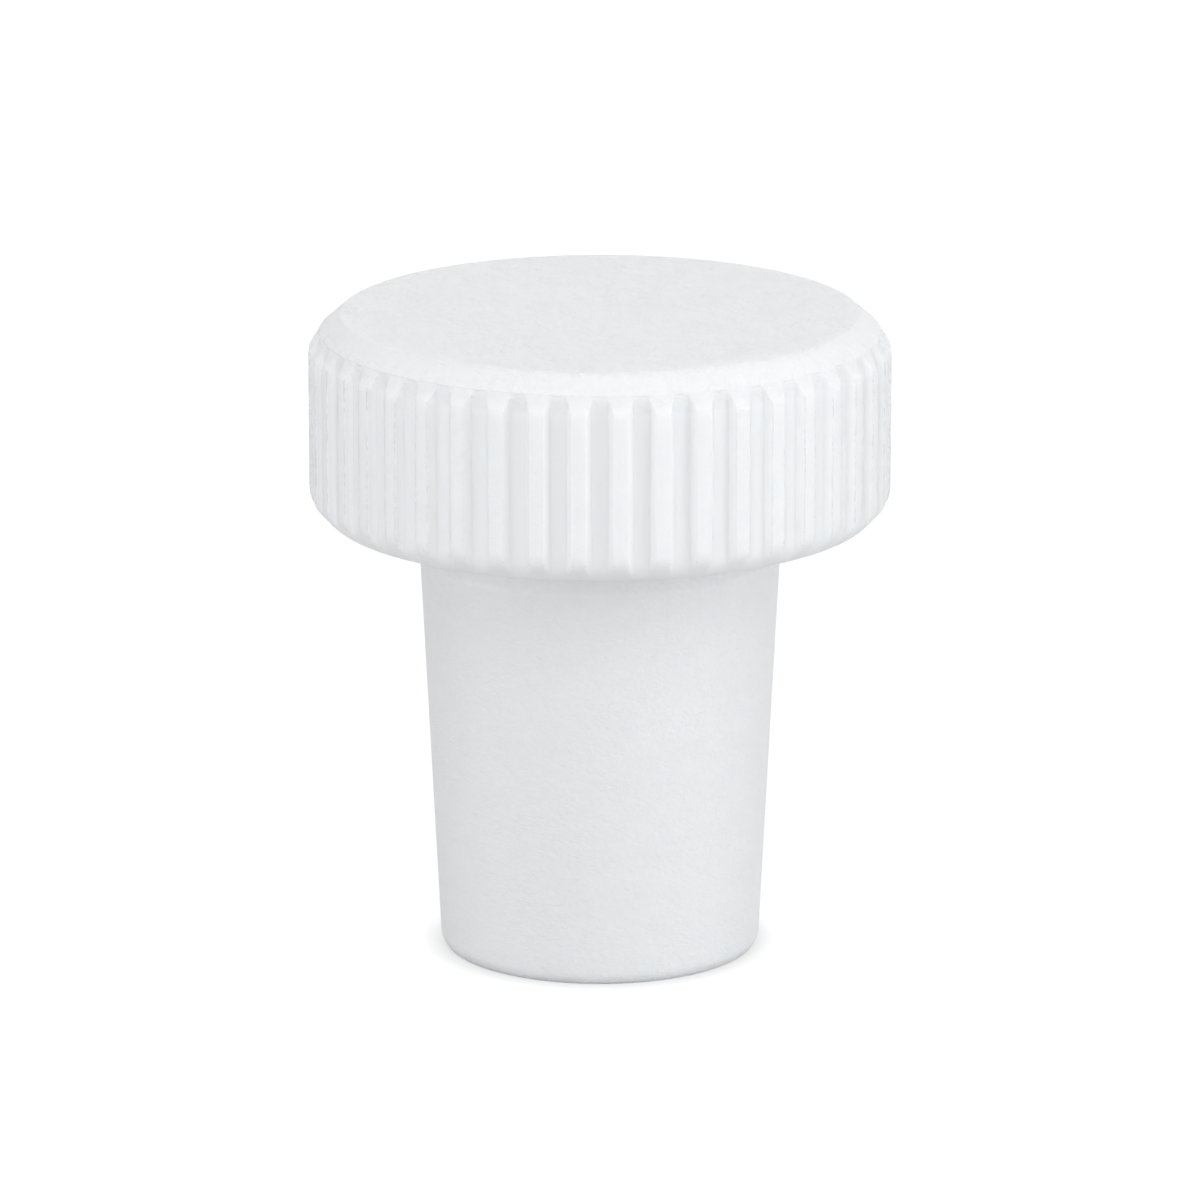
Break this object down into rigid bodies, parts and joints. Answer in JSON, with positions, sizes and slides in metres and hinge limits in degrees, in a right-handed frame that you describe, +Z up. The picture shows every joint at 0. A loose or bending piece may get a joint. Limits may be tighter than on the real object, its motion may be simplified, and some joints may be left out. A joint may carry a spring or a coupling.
{
  "type": "laboratory stopper",
  "caption": "Solid white plastic laboratory stopper: a fluted round cap with bevelled rims over a short neck and a smooth tapered plug that stands on its small end.",
  "frame": {"origin": "centre of the plug's flat small end, which is the face it stands on", "axes": "+Z up the axis of the taper, from the small end to the cap's flat top; the flutes repeat around it, with one flute centred on each of +X, +Y, -X and -Y"},
  "size_m": [0.047, 0.047, 0.0527],
  "materials": {
    "ptfe": "turned, waxy satin white"
  },
  "bodies": {
    "root": {"stopper": "ptfe"}
  },
  "joints": []
}
